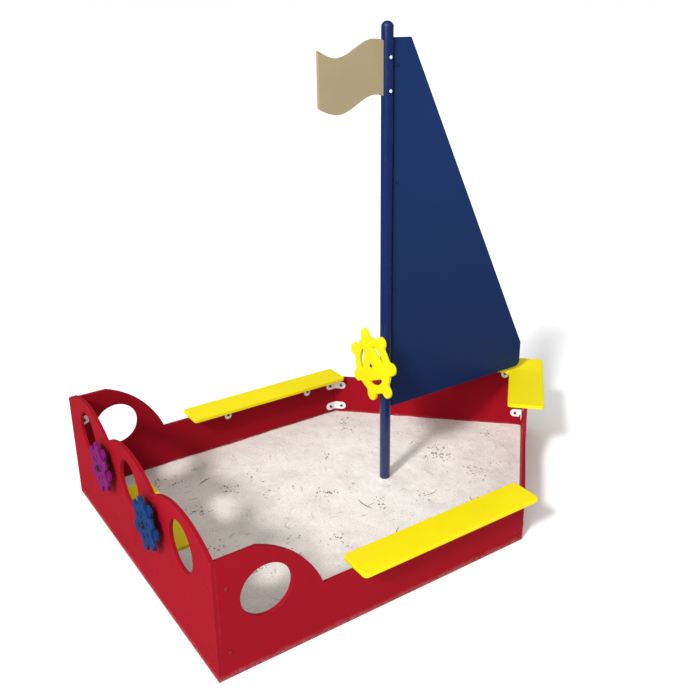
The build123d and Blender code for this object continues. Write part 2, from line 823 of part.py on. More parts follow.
wheel_head_x = wheel_washer_x - pivot_washer_thick
wheel_shank = boss_face - wheel_head_x + thread_depth - thread_gap
with BuildPart() as wheel_bolt:
    with Locations(facing(Vector(wheel_head_x, 0, wheel_height), forward)):
        add(cap_bolt(axle_radius, wheel_shank, axle_head_radius, axle_head_height))
wheel_bolt.part.label = "wheel_bolt"
export_step(wheel_bolt.part, "parts/wheel_bolt.step")


def gear_tooth_points(turn):
    """The outline of one gear plate, tooth by tooth, round the circle."""
    points = []
    for index in range(gear_teeth):
        middle = radians(turn + index * 360 / gear_teeth)
        tip = tooth_tip_width / 2 / gear_tip_radius
        root = tooth_root_width / 2 / gear_root_radius
        points.append(polar(gear_root_radius, degrees(middle - root)))
        points.append(polar(gear_tip_radius, degrees(middle - tip)))
        points.append(polar(gear_tip_radius, degrees(middle + tip)))
        points.append(polar(gear_root_radius, degrees(middle + root)))
    return points


def gear_plate_part(plane, turn):
    """One toothed plate with its bush hole, windows and screw holes."""
    with BuildPart() as plate:
        with BuildSketch(plane) as profile:
            with BuildLine():
                Polyline(*gear_tooth_points(turn), close=True)
            make_face()
            fillet(profile.vertices(), tooth_round)
            Circle(bush_radius, mode=Mode.SUBTRACT)
            with PolarLocations(gear_hole_circle, gear_teeth, start_angle=30):
                Circle(gear_hole_radius, mode=Mode.SUBTRACT)
            with PolarLocations(gear_screw_circle, gear_screw_count, start_angle=0):
                Circle(screw_radius, mode=Mode.SUBTRACT)
        extrude(amount=gear_plate)
        rims = plate.faces().filter_by(Axis.X).sort_by(Axis.X)[0 if turn else -1].outer_wire().edges()
        fillet(rims, gear_edge_round)
    return plate.part


# ---- the two gear wheels outside the stern: two toothed plates each, half a tooth apart ----
gear_back_x = stern_x - gear_off_stern
gear_front_x = gear_back_x - gear_plate
half_tooth = 180 / gear_teeth
with BuildPart() as purple_gear_back:
    add(gear_plate_part(behind(gear_back_x, gear_y, gear_height), 0))
purple_gear_back.part.label = "purple_gear_back"
export_step(purple_gear_back.part, "parts/purple_gear_back.step")

with BuildPart() as purple_gear_front:
    add(gear_plate_part(behind(gear_front_x, gear_y, gear_height), half_tooth))
purple_gear_front.part.label = "purple_gear_front"
export_step(purple_gear_front.part, "parts/purple_gear_front.step")

with BuildPart() as blue_gear_back:
    add(gear_plate_part(behind(gear_back_x, -gear_y, gear_height), 0))
blue_gear_back.part.label = "blue_gear_back"
export_step(blue_gear_back.part, "parts/blue_gear_back.step")

with BuildPart() as blue_gear_front:
    add(gear_plate_part(behind(gear_front_x, -gear_y, gear_height), half_tooth))
blue_gear_front.part.label = "blue_gear_front"
export_step(blue_gear_front.part, "parts/blue_gear_front.step")

with BuildPart() as purple_gear_bush:
    with Locations(behind(gear_back_x, gear_y, gear_height)):
        add(ring(bush_radius, bush_bore, gear_thick))
purple_gear_bush.part.label = "purple_gear_bush"
export_step(purple_gear_bush.part, "parts/purple_gear_bush.step")

with BuildPart() as blue_gear_bush:
    with Locations(behind(gear_back_x, -gear_y, gear_height)):
        add(ring(bush_radius, bush_bore, gear_thick))
blue_gear_bush.part.label = "blue_gear_bush"
export_step(blue_gear_bush.part, "parts/blue_gear_bush.step")


def gear_screws(y):
    """Pan-head screws from the front plate into the back plate of one gear."""
    face = facing(Vector(gear_front_x - gear_plate, y, gear_height), forward)
    screw = cap_bolt(screw_radius, gear_thick - gear_screw_short, screw_head_radius, screw_head_height)
    with Locations(face):
        with PolarLocations(gear_screw_circle, gear_screw_count, start_angle=180):
            add(screw)


with BuildPart() as purple_gear_screws:
    gear_screws(gear_y)
purple_gear_screws.part.label = "purple_gear_screws"
export_step(purple_gear_screws.part, "parts/purple_gear_screws.step")

with BuildPart() as blue_gear_screws:
    gear_screws(-gear_y)
blue_gear_screws.part.label = "blue_gear_screws"
export_step(blue_gear_screws.part, "parts/blue_gear_screws.step")

# ---- the gear wheels' fixed axles ----
spacer_length = gear_off_stern - end_play
gear_sleeve_x = stern_x - spacer_length
gear_sleeve_length = gear_thick + 2 * end_play
gear_washer_x = gear_sleeve_x - gear_sleeve_length
gear_head_x = gear_washer_x - pivot_washer_thick
axle_bore = axle_radius + axle_clearance
with BuildPart() as gear_spacers:
    with Locations(behind(stern_x, gear_y, gear_height), behind(stern_x, -gear_y, gear_height)):
        add(ring(spacer_radius, axle_bore, spacer_length))
gear_spacers.part.label = "gear_spacers"
export_step(gear_spacers.part, "parts/gear_spacers.step")

with BuildPart() as gear_sleeves:
    with Locations(behind(gear_sleeve_x, gear_y, gear_height), behind(gear_sleeve_x, -gear_y, gear_height)):
        add(ring(sleeve_radius, axle_bore, gear_sleeve_length))
gear_sleeves.part.label = "gear_sleeves"
export_step(gear_sleeves.part, "parts/gear_sleeves.step")

with BuildPart() as gear_washers:
    for x in (gear_washer_x, inner_stern_x + pivot_washer_thick):
        with Locations(behind(x, gear_y, gear_height), behind(x, -gear_y, gear_height)):
            add(ring(pivot_washer_radius, axle_bore, pivot_washer_thick))
gear_washers.part.label = "gear_washers"
export_step(gear_washers.part, "parts/gear_washers.step")

gear_nut_x = inner_stern_x + pivot_washer_thick
gear_shank = gear_nut_x - gear_head_x + axle_nut_height + bolt_past_nut
with BuildPart() as gear_axle_bolts:
    with Locations(*[facing(Vector(gear_head_x, y, gear_height), forward) for y in (gear_y, -gear_y)]):
        add(cap_bolt(axle_radius, gear_shank, axle_head_radius, axle_head_height))
gear_axle_bolts.part.label = "gear_axle_bolts"
export_step(gear_axle_bolts.part, "parts/gear_axle_bolts.step")

with BuildPart() as gear_axle_nuts:
    with Locations(*[facing(Vector(gear_nut_x, y, gear_height), forward) for y in (gear_y, -gear_y)]):
        add(hex_nut(axle_nut_width, axle_nut_height, axle_radius + nut_clearance))
gear_axle_nuts.part.label = "gear_axle_nuts"
export_step(gear_axle_nuts.part, "parts/gear_axle_nuts.step")

# ---- sand: a level bed inside the walls, round the mast's foot plate ----
edge_x = inner_shoulder_x - sand_clearance * mitre_turn
bed_y = inner_y - sand_clearance
bed_tip = inner_tip_x - sand_clearance / bow_sin
with BuildPart() as sand_bed:
    with BuildSketch():
        with BuildLine():
            Polyline(
                (inner_stern_x + sand_clearance, -bed_y),
                (edge_x, -bed_y),
                (bed_tip, 0),
                (edge_x, bed_y),
                (inner_stern_x + sand_clearance, bed_y),
                close=True,
            )
        make_face()
        pocket = base_width + 2 * sand_clearance
        RectangleRounded(pocket, pocket, seat_corner, mode=Mode.SUBTRACT)
    extrude(amount=sand_depth)
sand_bed.part.label = "sand_bed"
export_step(sand_bed.part, "parts/sand_bed.step")
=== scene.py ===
"""Looks for the boat-shaped sandbox: moulded boards, a painted mast, straps, fasteners and loose sand."""

import json
import math
import random

import bmesh
import bpy
from mathutils import Matrix, Vector, noise

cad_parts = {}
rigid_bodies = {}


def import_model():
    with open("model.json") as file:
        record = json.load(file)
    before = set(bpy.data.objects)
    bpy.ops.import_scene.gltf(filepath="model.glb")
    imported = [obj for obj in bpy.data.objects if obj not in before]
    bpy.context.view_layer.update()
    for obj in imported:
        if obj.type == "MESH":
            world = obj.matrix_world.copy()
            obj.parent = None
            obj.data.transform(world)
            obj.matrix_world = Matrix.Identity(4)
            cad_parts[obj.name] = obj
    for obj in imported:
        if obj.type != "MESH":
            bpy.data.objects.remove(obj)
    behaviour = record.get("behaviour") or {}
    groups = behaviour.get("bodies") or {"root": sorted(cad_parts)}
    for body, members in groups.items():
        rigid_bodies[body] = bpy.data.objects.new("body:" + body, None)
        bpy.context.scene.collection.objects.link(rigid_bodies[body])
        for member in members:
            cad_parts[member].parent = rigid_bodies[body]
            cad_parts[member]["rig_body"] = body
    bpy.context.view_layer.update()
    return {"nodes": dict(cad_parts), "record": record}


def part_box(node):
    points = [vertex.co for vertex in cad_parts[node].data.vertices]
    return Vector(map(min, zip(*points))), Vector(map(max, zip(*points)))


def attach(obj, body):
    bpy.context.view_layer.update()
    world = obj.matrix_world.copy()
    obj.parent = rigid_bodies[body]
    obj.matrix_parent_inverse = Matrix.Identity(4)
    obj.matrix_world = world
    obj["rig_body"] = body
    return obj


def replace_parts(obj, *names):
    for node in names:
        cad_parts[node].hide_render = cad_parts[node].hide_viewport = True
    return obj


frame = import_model()
nodes = frame["nodes"]
BODY_OF = {name: node["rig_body"] for name, node in nodes.items()}
SLOT_OF = {part["node"]: part["material_slot"] for part in frame["record"]["subparts"]}

# ---- colours, linear ----
RED = (0.255, 0.0045, 0.0120)
YELLOW = (0.710, 0.590, 0.0016)
SAIL_BLUE = (0.0060, 0.0255, 0.1050)
FLAG_TAN = (0.300, 0.237, 0.138)
PURPLE = (0.150, 0.0030, 0.105)
GEAR_BLUE = (0.0030, 0.0300, 0.1250)
MAST_BLUE = (0.0032, 0.0130, 0.0800)
STRAP_WHITE = (0.76, 0.76, 0.74)
STEEL = (0.46, 0.46, 0.45)
DARK_STEEL = (0.055, 0.055, 0.060)
BUSH_BLACK = (0.016, 0.016, 0.018)
SAND_PALE = (0.76, 0.715, 0.675)
SAND_GREY = (0.62, 0.58, 0.54)
SAND_SPECK = (0.14, 0.092, 0.045)
TWIG_BROWN = (0.155, 0.115, 0.050)
TWIG_PALE = (0.34, 0.27, 0.14)
BARK_BROWN = (0.110, 0.066, 0.032)

# ---- sizes, metres ----
BOARD_EDGE = 0.0022
STRAP_EDGE = 0.0011
METAL_EDGE = 0.0005
SHARP_ANGLE = math.radians(32)  # edges bent more than this are rounded
WELD_DISTANCE = 0.00002
FLAT_ANGLE = math.radians(0.6)  # faces bent less than this are joined before rounding
BOARD_WEAR = 0.0035
METAL_WEAR = 0.0016
DUST_TOP = 0.030  # sand dust on the boards fades out at this height
DUST_FULL = 0.006
# heights of the sail's painted shade: darker colour at the lower height, full colour from the upper height
# up
SAIL_SHADE_BOTTOM = 0.45
SAIL_SHADE_TOP = 2.3
GROUND_GAP = 0.0005

# ---- sand and litter: metres, and (least, most) ----
SEED = 7
SAND_COLUMNS = 230
SAND_ROWS = 150
DEEPEST_HOLLOW = 0.003
BANK_HEIGHT = 0.006
WALL_BANK_REACH = 0.045
MAST_BANK_REACH = 0.03
MAST_EDGE = 0.03
MAST_CLEARANCE = 0.06
BOW_TIP_WIDTH = 0.0015
TWIGS = {"count": 90, "margin": 0.09, "length": (0.020, 0.070), "radius": (0.0007, 0.0014), "curl": 1.6}
STICKS = {"count": 5, "margin": 0.16, "length": (0.08, 0.13), "radius": (0.0016, 0.0026), "curl": 0.8}
TWIG_SIDES = 6
TWIG_JOINTS = 9
CLUSTERS = 46
CLUSTER_MARGIN = 0.12
CLUSTER_CRUMBS = (6, 20)
CLUSTER_SPREAD = 0.030
CLUSTER_CRUMB_SIZE = (0.0022, 0.0064)
LOOSE_CRUMBS = 420
LOOSE_CRUMB_MARGIN = 0.03
LOOSE_CRUMB_SIZE = (0.0012, 0.0034)


# ---- node helpers ----
class Graph:
    """A material's node tree, with short ways to add and join nodes."""

    def __init__(self, name):
        self.material = bpy.data.materials.new(name)
        self.material.use_nodes = True
        self.tree = self.material.node_tree
        self.shader = self.tree.nodes["Principled BSDF"]
        self.place = self.add("ShaderNodeTexCoord").outputs["Object"]

    def add(self, kind, **inputs):
        node = self.tree.nodes.new(kind)
        for key, value in inputs.items():
            self.feed(node.inputs[key.replace("_", " ")], value)
        return node

    def feed(self, socket, value):
        if isinstance(value, bpy.types.NodeSocket):
            self.tree.links.new(value, socket)
        else:
            socket.default_value = value

    def stretched(self, scale, turn=(0, 0, 0)):
        return self.add("ShaderNodeMapping", Vector=self.place, Scale=scale, Rotation=turn).outputs[0]

    def noise(self, scale, detail=4.0, roughness=0.55, place=None):
        node = self.add("ShaderNodeTexNoise", Vector=place or self.place, Scale=scale)
        node.inputs["Detail"].default_value = detail
        node.inputs["Roughness"].default_value = roughness
        return node.outputs["Fac"]

    def cells(self, scale):
        return self.add("ShaderNodeTexVoronoi", Vector=self.place, Scale=scale)

    def channel(self, colour, name):
        return self.add("ShaderNodeSeparateColor", Color=colour).outputs[name]

    def span(self, value, low, high, to_low=0.0, to_high=1.0):
        node = self.add("ShaderNodeMapRange")
        node.clamp = True
        self.feed(node.inputs["Value"], value)
        for key, number in (("From Min", low), ("From Max", high), ("To Min", to_low), ("To Max", to_high)):
            node.inputs[key].default_value = number
        return node.outputs["Result"]

    def math(self, operation, first, second=0.0):
        node = self.add("ShaderNodeMath")
        node.operation = operation
        self.feed(node.inputs[0], first)
        self.feed(node.inputs[1], second)
        return node.outputs[0]

    def mix(self, share, first, second):
        node = self.add("ShaderNodeMix")
        node.data_type = "RGBA"
        self.feed(node.inputs["Factor"], share)
        for socket, value in ((node.inputs[6], first), (node.inputs[7], second)):
            self.feed(socket, value if isinstance(value, bpy.types.NodeSocket) else (*value, 1.0))
        return node.outputs[2]

    def bump(self, height, strength, distance, below=None):
        node = self.add("ShaderNodeBump", Height=height, Strength=strength, Distance=distance)
        if below is not None:
            self.feed(node.inputs["Normal"], below)
        return node.outputs["Normal"]

    def worn_edge(self, radius):
        """How near the surface here is to an edge: 1 on an edge, 0 on a flat."""
        bevel = self.add("ShaderNodeBevel", Radius=radius)
        bevel.samples = 6
        true = self.add("ShaderNodeNewGeometry").outputs["Normal"]
        dot = self.add("ShaderNodeVectorMath")
        dot.operation = "DOT_PRODUCT"
        self.feed(dot.inputs[0], bevel.outputs[0])
        self.feed(dot.inputs[1], true)
        return self.span(dot.outputs["Value"], 0.995, 0.86)

    def height(self):
        return self.add("ShaderNodeSeparateXYZ", Vector=self.place).outputs["Z"]

    def finish(self, colour, roughness, normal, metallic=0.0, specular=0.5, coat=0.0):
        self.feed(self.shader.inputs["Base Color"], colour)
        self.feed(self.shader.inputs["Roughness"], roughness)
        self.feed(self.shader.inputs["Normal"], normal)
        self.shader.inputs["Metallic"].default_value = metallic
        self.shader.inputs["Specular IOR Level"].default_value = specular
        self.shader.inputs["Coat Weight"].default_value = coat
        self.shader.inputs["Coat Roughness"].default_value = 0.12
        return self.material


def toned(colour, factor):
    return tuple(min(1.0, channel * factor) for channel in colour)


def toward(colour, other, share):
    return tuple(a + (b - a) * share for a, b in zip(colour, other))


# ---- materials ----
def moulded_board(name, colour, specular=0.22, dusty=True, painted_shade=None):
    """Solid-colour polyethylene sheet: pebbled skin, clouding, hairline scuffs, paler worn edges, and where
    asked a painted shade that darkens it towards the bottom.
    """
    g = Graph(name)
    clouds = g.span(g.noise(3.1, 5, 0.6), 0.3, 0.72)
    tint = g.mix(clouds, toned(colour, 0.95), toned(colour, 1.05))
    # painted shade: the colour darkens towards the bottom of the piece, below the given heights
    if painted_shade is not None:
        low, high, shaded_colour = painted_shade
        tint = g.mix(g.span(g.height(), low, high), shaded_colour, tint)
    flecks = g.span(g.noise(240, 2, 0.5), 0.62, 0.76, 0.0, 0.30)
    tint = g.mix(flecks, tint, toned(colour, 0.82))
    long_scuffs = g.noise(9, 6, 0.62, g.stretched((1.2, 1.2, 34), (0.3, 0.1, 0.5)))
    cross_scuffs = g.noise(7, 6, 0.62, g.stretched((30, 1.4, 1.4), (0.2, 0.6, 0.1)))
    scuffs = g.math("MAXIMUM", g.span(long_scuffs, 0.66, 0.72), g.span(cross_scuffs, 0.67, 0.73))
    patches = g.span(g.noise(2.3, 3), 0.48, 0.66)
    scuffs = g.math("MULTIPLY", scuffs, patches)
    pale = toward(colour, (0.85, 0.83, 0.80), 0.16)
    tint = g.mix(g.math("MULTIPLY", scuffs, 0.20), tint, pale)
    edges = g.math("MULTIPLY", g.worn_edge(BOARD_WEAR), g.span(g.noise(55, 4, 0.7), 0.40, 0.66))
    tint = g.mix(g.math("MULTIPLY", edges, 0.35), tint, toward(colour, (0.8, 0.78, 0.75), 0.14))
    rough = g.math("ADD", g.span(clouds, 0, 1, 0.40, 0.50), g.math("MULTIPLY", scuffs, 0.16))
    if dusty:
        ragged = g.math("ADD", g.height(), g.span(g.noise(16, 5, 0.65), 0.3, 0.7, -0.008, 0.008))
        patchy = g.span(g.noise(90, 3), 0.35, 0.7, 0.02, 0.20)
        dust = g.math("MULTIPLY", g.span(ragged, DUST_TOP, DUST_FULL), patchy)
        tint = g.mix(dust, tint, toned(SAND_PALE, 0.72))
        rough = g.math("ADD", rough, g.math("MULTIPLY", dust, 0.3))
    pebble = g.cells(620).outputs["Distance"]
    skin = g.bump(pebble, 0.16, 0.0004)
    skin = g.bump(g.noise(34, 3), 0.10, 0.0009, skin)
    skin = g.bump(scuffs, -0.12, 0.0003, skin)
    return g.finish(tint, rough, skin, specular=specular)


def powder_coat(name, colour, specular=0.5, coat=0.25, rough=0.26, chipped=1.0):
    """Baked paint on steel: orange peel, small chips at edges, faint rub marks."""
    g = Graph(name)
    clouds = g.noise(6, 4)
    tint = g.mix(clouds, toned(colour, 0.9), toned(colour, 1.1))
    rubs = g.span(g.noise(8, 6, 0.65, g.stretched((26, 26, 2.0))), 0.64, 0.72, 0, 0.30)
    tint = g.mix(rubs, tint, toward(colour, (0.5, 0.5, 0.5), 0.12))
    chips = g.math("MULTIPLY", g.worn_edge(METAL_WEAR), g.span(g.noise(140, 3, 0.6), 0.56, 0.64, 0, chipped))
    tint = g.mix(chips, tint, (0.16, 0.155, 0.15))
    peel = g.bump(g.noise(190, 2, 0.4), 0.10, 0.0006)
    peel = g.bump(g.noise(30, 2), 0.05, 0.0010, peel)
    return g.finish(tint, g.math("ADD", g.span(clouds, 0.3, 0.7, rough, rough + 0.08), rubs), peel,
                    specular=specular, coat=coat)


def zinc_steel(name, colour, rough=0.34):
    """Zinc-plated fastener steel: turning marks, dull patches, traces of grime."""
    g = Graph(name)
    patches = g.noise(85, 4, 0.6)
    tint = g.mix(g.span(patches, 0.35, 0.68), toned(colour, 0.72), toned(colour, 1.15))
    grime = g.span(g.noise(150, 5, 0.65), 0.58, 0.72, 0, 0.55)
    tint = g.mix(grime, tint, toned(colour, 0.35))
    marks = g.bump(g.noise(900, 2, 0.5, g.stretched((1, 1, 7))), 0.22, 0.0002)
    return g.finish(tint, g.span(patches, 0.3, 0.7, rough, rough + 0.22), marks, metallic=0.85)


def bearing_plastic():
    """Dark, slightly oily bush plastic with turning rings."""
    g = Graph("bearing_plastic")
    tint = g.mix(g.noise(60, 3), toned(BUSH_BLACK, 0.8), toned(BUSH_BLACK, 1.6))
    rings = g.bump(g.noise(700, 2, 0.5, g.stretched((9, 1, 1))), 0.2, 0.0002)
    return g.finish(tint, g.span(g.noise(40, 3), 0.3, 0.7, 0.34, 0.5), rings, specular=0.4)


def loose_sand():
    """Pale play sand: grains, grey damp clouds, brown and dark flecks."""
    g = Graph("loose_sand")
    clouds = g.span(g.noise(5.2, 7, 0.66), 0.46, 0.70)
    tint = g.mix(clouds, SAND_PALE, SAND_GREY)
    fine = g.span(g.noise(70, 6, 0.7), 0.34, 0.70)
    tint = g.mix(g.math("MULTIPLY", fine, 0.22), tint, toned(SAND_GREY, 0.85))
    grain = g.cells(520)
    shade = g.channel(grain.outputs["Color"], "Red")
    tint = g.mix(g.span(shade, 0.80, 0.98, 0, 0.55), tint, (0.93, 0.90, 0.86))
    tint = g.mix(g.span(shade, 0.075, 0.02, 0, 0.75), tint, SAND_SPECK)
    crumbs = g.cells(85)
    crumb_dot = g.span(crumbs.outputs["Distance"], 0.22, 0.10)
    crumb_pick = g.channel(crumbs.outputs["Color"], "Green")
    drifts = g.span(g.noise(5.5, 4, 0.6), 0.50, 0.64)
    crumb = g.math("MULTIPLY", g.math("MULTIPLY", crumb_dot, g.span(crumb_pick, 0.66, 0.74)), drifts)
    tint = g.mix(g.math("MULTIPLY", crumb, 0.85), tint, toned(SAND_SPECK, 1.3))
    relief = g.bump(g.noise(46, 6, 0.65), 0.35, 0.005)
    relief = g.bump(grain.outputs["Distance"], 0.45, 0.0016, relief)
    return g.finish(tint, 0.92, relief, specular=0.12)


def plant_litter(name, dark, pale):
    """Dry twigs and bark: fibres along the grain, weathered grey patches."""
    g = Graph(name)
    fibre = g.noise(260, 5, 0.6)
    tint = g.mix(g.span(fibre, 0.32, 0.70), dark, pale)
    tint = g.mix(g.span(g.noise(45, 3), 0.50, 0.70, 0, 0.5), tint, toned(SAND_GREY, 0.62))
    return g.finish(tint, 0.85, g.bump(fibre, 0.5, 0.0008), specular=0.15)


MATERIALS = {
    "red_board": moulded_board("red_board", RED, specular=0.03),
    "yellow_board": moulded_board("yellow_board", YELLOW, specular=0.12, dusty=False),
    # the sail gets a painted shade, darker towards its bottom
    "blue_sail_board": moulded_board(
        "blue_sail_board", SAIL_BLUE, specular=0.12, dusty=False,
        painted_shade=(SAIL_SHADE_BOTTOM, SAIL_SHADE_TOP, toned(SAIL_BLUE, 0.72)),
    ),
    "tan_flag_board": moulded_board("tan_flag_board", FLAG_TAN, dusty=False),
    "purple_board": moulded_board("purple_board", PURPLE, dusty=False),
    "blue_gear_board": moulded_board("blue_gear_board", GEAR_BLUE, dusty=False),
    "blue_mast_paint": powder_coat(
        "blue_mast_paint", MAST_BLUE, specular=0.40, coat=0.45, rough=0.17, chipped=0.15,
    ),
    "mast_cap_plastic": moulded_board("mast_cap_plastic", MAST_BLUE, specular=0.4, dusty=False),
    "white_strap_paint": powder_coat("white_strap_paint", STRAP_WHITE, coat=0.1, rough=0.38),
    "steel": zinc_steel("steel", STEEL),
    "bush_plastic": bearing_plastic(),
}
DARK_FASTENERS = zinc_steel("dark_fastener_steel", DARK_STEEL, 0.42)
RED_CAPS = powder_coat("red_capped_bolt", toned(RED, 0.8), coat=0.1, rough=0.4)
WHITE_CAPS = powder_coat("white_capped_bolt", STRAP_WHITE, coat=0.1, rough=0.4)
BLUE_CAPS = powder_coat("blue_capped_bolt", toned(SAIL_BLUE, 0.35), coat=0.1, rough=0.4)
YELLOW_CAPS = powder_coat("yellow_capped_washer", YELLOW, coat=0.1, rough=0.4)
SPECIAL = {
    "panel_bolts": RED_CAPS,
    "panel_nuts": DARK_FASTENERS,
    "panel_washers": MATERIALS["steel"],
    "seat_screws": DARK_FASTENERS,
    "sail_bolts": BLUE_CAPS,
    "flag_bolts": WHITE_CAPS,
    "purple_gear_screws": DARK_FASTENERS,
    "blue_gear_screws": DARK_FASTENERS,
    "wheel_bolt": DARK_FASTENERS,
    "wheel_washer": YELLOW_CAPS,
    "gear_axle_bolts": DARK_FASTENERS,
    "gear_washers": DARK_FASTENERS,
}


# ---- rounding the sheet pieces ----
def rounded_copy(name, width, segments):
    """A copy of a CAD piece with its sharp edges rounded, shown in the CAD piece's place."""
    mesh = nodes[name].data.copy()
    piece = bpy.data.objects.new(name + "_rounded", mesh)
    bpy.context.scene.collection.objects.link(piece)
    bm = bmesh.new()
    bm.from_mesh(mesh)
    bmesh.ops.remove_doubles(bm, verts=bm.verts, dist=WELD_DISTANCE)
    bmesh.ops.dissolve_limit(bm, angle_limit=FLAT_ANGLE, verts=bm.verts, edges=bm.edges)
    bm.to_mesh(mesh)
    bm.free()
    for layer in list(mesh.attributes):
        if layer.name == "custom_normal":
            mesh.attributes.remove(layer)
    mesh.shade_smooth()
    rounding = piece.modifiers.new("rounding", "BEVEL")
    rounding.width = width
    rounding.segments = segments
    rounding.limit_method = "ANGLE"
    rounding.angle_limit = SHARP_ANGLE
    rounding.use_clamp_overlap = True
    rounding.harden_normals = True
    mesh.materials.clear()
    mesh.materials.append(material_for(name))
    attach(piece, BODY_OF[name])
    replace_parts(piece, name)
    return piece


def material_for(name):
    return SPECIAL.get(name, MATERIALS.get(SLOT_OF[name]))


BOARDS = [
    "stern_panel", "starboard_side_panel", "port_side_panel", "starboard_bow_panel", "port_bow_panel",
    "starboard_seat", "port_seat", "stern_seat", "bow_seat", "sail", "flag", "ship_wheel",
    "purple_gear_back", "purple_gear_front", "blue_gear_back", "blue_gear_front",
]
STRAPS = [
    "stern_corner_straps", "shoulder_straps", "bow_tip_straps",
    "side_seat_straps", "stern_seat_straps", "bow_seat_straps",
]
METALWORK = [
    "mast_tube", "mast_cap", "mast_base_plate", "sail_tabs", "wheel_boss", "wheel_washer", "gear_washers",
]
for names, edge, segments in ((BOARDS, BOARD_EDGE, 3), (STRAPS, STRAP_EDGE, 2), (METALWORK, METAL_EDGE, 2)):
    for name in names:
        rounded_copy(name, edge, segments)
for name, node in nodes.items():
    if name not in BOARDS + STRAPS + METALWORK + ["sand_bed"]:
        node.data.materials.clear()
        node.data.materials.append(material_for(name))

# ---- sand: a raked, trodden surface inside the walls ----
BED_LOW, BED_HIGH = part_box("sand_bed")
SHOULDER_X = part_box("starboard_side_panel")[1].x


def half_width(x):
    """Half the bed's width at x: full along the sides, tapering to the bow."""
    if x <= SHOULDER_X:
        return BED_HIGH.y
    return max(BOW_TIP_WIDTH, BED_HIGH.y * (BED_HIGH.x - x) / (BED_HIGH.x - SHOULDER_X))


def sand_height(x, y):
    """The sand's level: broad swells, trodden hollows, and a small bank against the walls and mast."""
    spot = Vector((x, y, 0.0))
    swell = noise.noise(spot * 2.1) * 0.0045 + noise.noise(spot * 6.3 + Vector((3, 1, 7))) * 0.0030
    lumps = noise.noise(spot * 17 + Vector((9, 4, 2))) * 0.0020 + noise.noise(spot * 41) * 0.0011
    wall = min(half_width(x) - abs(y), x - BED_LOW.x)
    bank = BANK_HEIGHT * math.exp(-max(wall, 0.0) / WALL_BANK_REACH)
    collar = BANK_HEIGHT * math.exp(-max(math.hypot(x, y) - MAST_EDGE, 0.0) / MAST_BANK_REACH)
    return BED_HIGH.z + max(-DEEPEST_HOLLOW, swell + lumps) + bank + collar


def make_sand():
    """The sand as one closed mesh, its top following sand_height."""
    bm = bmesh.new()
    columns = []
    for i in range(SAND_COLUMNS + 1):
        x = BED_LOW.x + (BED_HIGH.x - BED_LOW.x) * i / SAND_COLUMNS
        w = half_width(x)
        rows = []
        for j in range(SAND_ROWS + 1):
            y = -w + 2 * w * j / SAND_ROWS
            rows.append(bm.verts.new((x, y, sand_height(x, y))))
        columns.append(rows)
    for near, far in zip(columns, columns[1:]):
        for j in range(SAND_ROWS):
            bm.faces.new((near[j], far[j], far[j + 1], near[j + 1]))
    rim = [rows[0] for rows in columns] + columns[-1][1:]
    rim += [rows[-1] for rows in reversed(columns[:-1])] + columns[0][-2:0:-1]
    foot = [bm.verts.new((v.co.x, v.co.y, 0.0)) for v in rim]
    for k in range(len(rim)):
        after = (k + 1) % len(rim)
        bm.faces.new((rim[k], foot[k], foot[after], rim[after]))
    bm.faces.new(list(reversed(foot)))
    bmesh.ops.recalc_face_normals(bm, faces=bm.faces)
    return add_piece("sand_surface", bm, loose_sand(), smooth=True)


def add_piece(name, bm, material, smooth=False):
    mesh = bpy.data.meshes.new(name)
    bm.to_mesh(mesh)
    bm.free()
    if smooth:
        mesh.shade_smooth()
    mesh.materials.append(material)
    piece = bpy.data.objects.new(name, mesh)
    bpy.context.scene.collection.objects.link(piece)
    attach(piece, "sandbox")
    return piece


def random_spot(draw, margin):
    """A place on the sand, clear of the walls and the mast."""
    while True:
        x = draw.uniform(BED_LOW.x + margin, BED_HIGH.x - margin)
        y = draw.uniform(BED_LOW.y + margin, BED_HIGH.y - margin)
        if abs(y) < half_width(x) - margin and math.hypot(x, y) > MAST_CLEARANCE:
            return x, y


def twig(bm, start, heading, length, radius, curl):
    """One bent, tapering twig that lies half in the sand."""
    x, y = start
    rings = []
    for k in range(TWIG_JOINTS + 1):
        share = k / TWIG_JOINTS
        r = radius * (0.35 + 0.65 * math.sin(math.pi * min(0.97, 0.12 + share * 0.85)))
        z = sand_height(x, y) + r * 0.45
        side = Vector((-math.sin(heading), math.cos(heading), 0))
        ring = []
        for s in range(TWIG_SIDES):
            turn = 2 * math.pi * s / TWIG_SIDES
            offset = side * math.cos(turn) * r + Vector((0, 0, 1)) * math.sin(turn) * r
            ring.append(bm.verts.new(Vector((x, y, z)) + offset))
        rings.append(ring)
        heading += curl / TWIG_JOINTS + 0.22 * noise.noise(Vector((x * 40, y * 40, k)))
        x += math.cos(heading) * length / TWIG_JOINTS
        y += math.sin(heading) * length / TWIG_JOINTS
    for near, far in zip(rings, rings[1:]):
        for s in range(TWIG_SIDES):
            after = (s + 1) % TWIG_SIDES
            bm.faces.new((near[s], far[s], far[after], near[after]))
    bm.faces.new(rings[0])
    bm.faces.new(list(reversed(rings[-1])))


def crumb(bm, draw, spot, size):
    """One bark chip or crumb: a squashed, uneven lump."""
    x, y = spot
    turn = Matrix.Rotation(draw.uniform(0, math.tau), 4, "Z")
    lump = bmesh.ops.create_icosphere(bm, subdivisions=1, radius=size)["verts"]
    stretch = Vector((draw.uniform(0.7, 1.7), draw.uniform(0.4, 0.9), draw.uniform(0.25, 0.5)))
    for v in lump:
        bend = 1 + 0.35 * noise.noise(v.co * 300 + Vector((x, y, 0)) * 50)
        v.co = turn @ Vector((v.co.x * stretch.x, v.co.y * stretch.y, v.co.z * stretch.z)) * bend
        v.co += Vector((x, y, sand_height(x, y) + size * 0.12))


